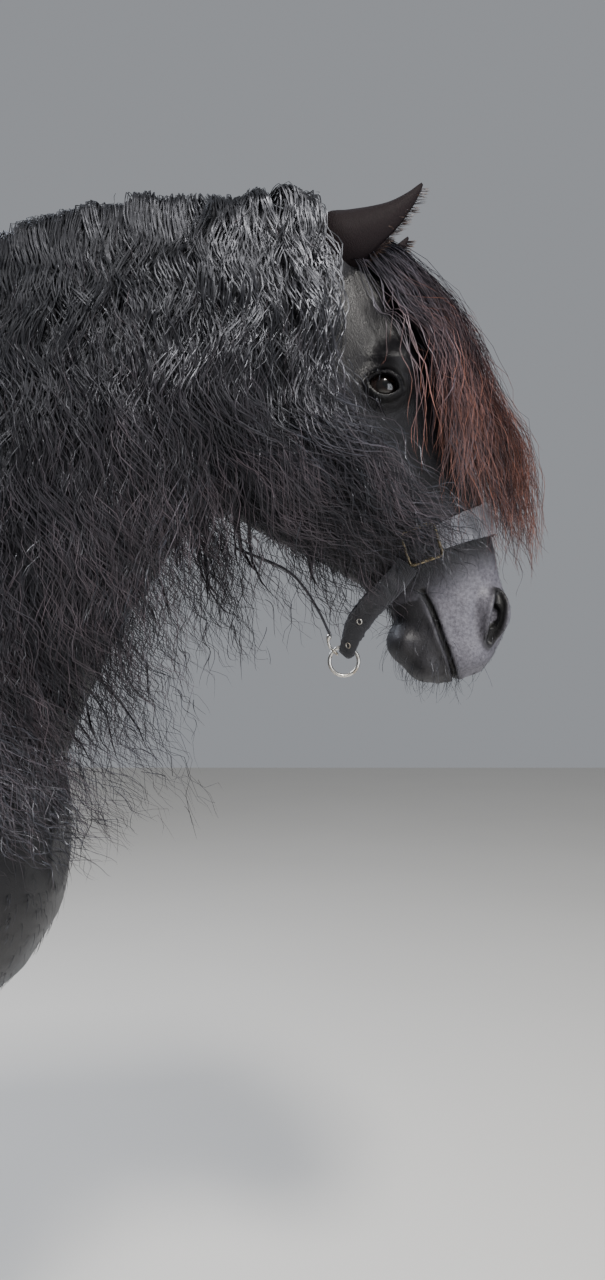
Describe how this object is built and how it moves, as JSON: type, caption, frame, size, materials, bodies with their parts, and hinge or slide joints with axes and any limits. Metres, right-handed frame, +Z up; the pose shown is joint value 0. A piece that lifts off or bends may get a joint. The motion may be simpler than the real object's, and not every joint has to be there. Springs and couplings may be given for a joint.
{
  "type": "friesian horse",
  "caption": "Life-size still model of a standing friesian horse with a long wavy mane, forelock, tail and leg feather, wearing a webbing head halter.",
  "frame": {"origin": "middle of the horse's bounding box at floor level, on the plane between its left and right sides", "axes": "+X the way the horse faces, +Y its left side, +Z up"},
  "size_m": [2.3961, 0.671, 1.8791],
  "materials": {
    "coat": "short glossy black hair",
    "long_hair": "long wavy black hair",
    "eye": "wet, dark brown",
    "hoof_horn": "dark horn with fine rings",
    "webbing": "worn woven webbing, dark grey",
    "steel": "worn plated steel"
  },
  "bodies": {
    "root": {"torso": "coat", "neck": "coat", "head": "coat", "ear_right": "coat", "ear_left": "coat", "eye_right": "eye", "eye_left": "eye", "upper_foreleg_right": "coat", "upper_foreleg_left": "coat", "upper_hindleg_right": "coat", "upper_hindleg_left": "coat", "lower_foreleg_right": "coat", "lower_foreleg_left": "coat", "lower_hindleg_right": "coat", "lower_hindleg_left": "coat", "tail": "long_hair", "forehoof_right": "hoof_horn", "forehoof_left": "hoof_horn", "hindhoof_right": "hoof_horn", "hindhoof_left": "hoof_horn", "halter_noseband": "webbing", "halter_headpiece": "webbing", "halter_throat_strap": "webbing", "halter_chin_strap": "webbing", "halter_jaw_strap": "webbing", "halter_ring": "steel", "halter_snap": "steel", "halter_square_right": "steel", "halter_square_left": "steel"}
  },
  "joints": []
}
